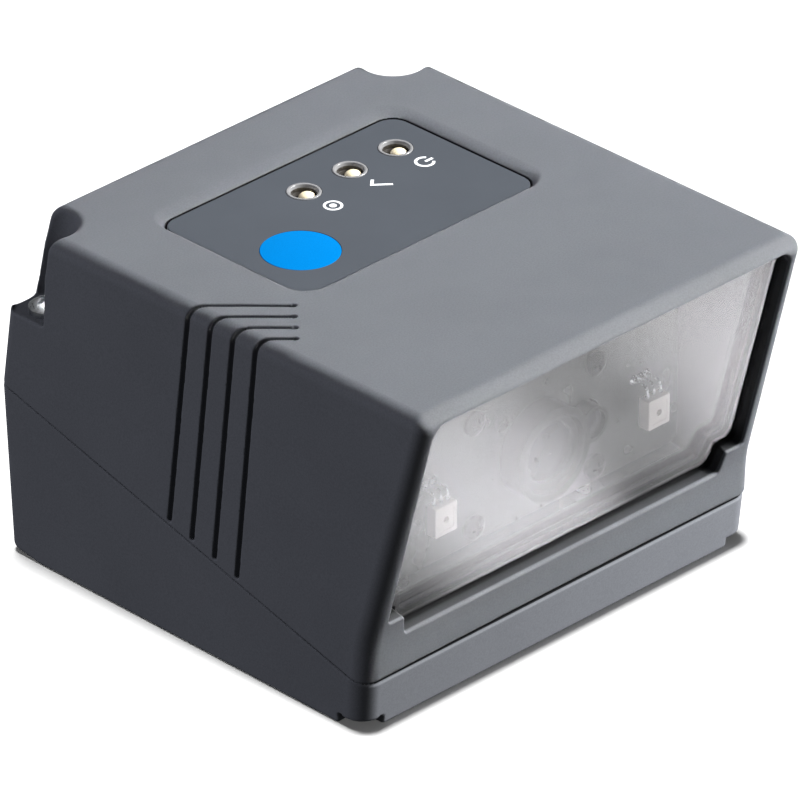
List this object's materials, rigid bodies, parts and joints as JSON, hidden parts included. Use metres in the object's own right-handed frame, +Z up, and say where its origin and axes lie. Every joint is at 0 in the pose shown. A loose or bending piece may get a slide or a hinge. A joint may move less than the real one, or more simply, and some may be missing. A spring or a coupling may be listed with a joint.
{
  "type": "fixed barcode reader",
  "caption": "Compact fixed barcode reader: split plastic housing with a sloping seam, leaning clear front window, top panel with lamps and a trigger key, and an imager inside.",
  "frame": {"origin": "centre of the outline's footprint, on the underside of the base", "axes": "+Z up through the top panel, -Y out of the front window, +X to the right seen from the front"},
  "size_m": [0.062, 0.0672, 0.0424],
  "materials": {
    "housing_plastic": "fine moulded texture, blue-grey",
    "seal_rubber": "matt black",
    "clear_window": "clear polished pane",
    "overlay_film": "satin printed film",
    "key_blue": "satin azure",
    "clear_lens": "clear moulded lens",
    "screw_steel": "bright zinc",
    "board_green": "solder mask",
    "board_black": "black solder mask",
    "screw_black": "black oxide",
    "lamp_cream": "cream resin",
    "lamp_white": "white resin",
    "lead_tin": "tinned",
    "black_plastic": "matt black",
    "chip_black": "moulded resin",
    "connector_cream": "natural nylon",
    "flex_amber": "amber film",
    "brass": "turned and knurled",
    "lens_glass": "coated optical glass"
  },
  "bodies": {
    "housing": {"upper_cover": "housing_plastic", "base_housing": "housing_plastic", "housing_seal": "seal_rubber", "front_window": "clear_window", "window_gasket": "seal_rubber", "control_overlay": "overlay_film", "light_pipe_power": "clear_lens", "light_pipe_good": "clear_lens", "light_pipe_trigger": "clear_lens", "rear_cover_screws": "screw_steel", "indicator_board": "board_green", "indicator_leds": "lamp_cream", "indicator_board_screws": "screw_steel", "key_switch": "black_plastic", "indicator_flex": "flex_amber", "indicator_connector": "connector_cream", "imager_chassis": "black_plastic", "lens_barrel": "black_plastic", "front_lens": "lens_glass", "image_sensor": "chip_black", "sensor_board": "board_green", "aimer_barrel": "black_plastic", "aimer_lens": "lens_glass", "lens_shroud": "seal_rubber", "illumination_board": "board_black", "illumination_board_screws": "screw_black", "illumination_led_left": "lamp_white", "illumination_led_right": "lamp_white", "illumination_led_leads": "lead_tin", "engine_screws": "screw_steel", "engine_flex": "flex_amber", "engine_connector": "connector_cream", "main_board": "board_green", "main_board_screws": "screw_steel", "processor_chip": "chip_black", "memory_chip": "chip_black", "buzzer": "black_plastic", "cable_connector": "connector_cream", "cable_gland": "seal_rubber", "mounting_inserts": "brass"},
    "key": {"trigger_button": "key_blue", "switch_plunger": "connector_cream"}
  },
  "joints": [
    {"name": "trigger_press", "type": "slide", "parent": "housing", "child": "key", "axis": [0, 0, -1], "range_m": [0, 0.0003], "stiffness_N_per_m": 6000}
  ]
}
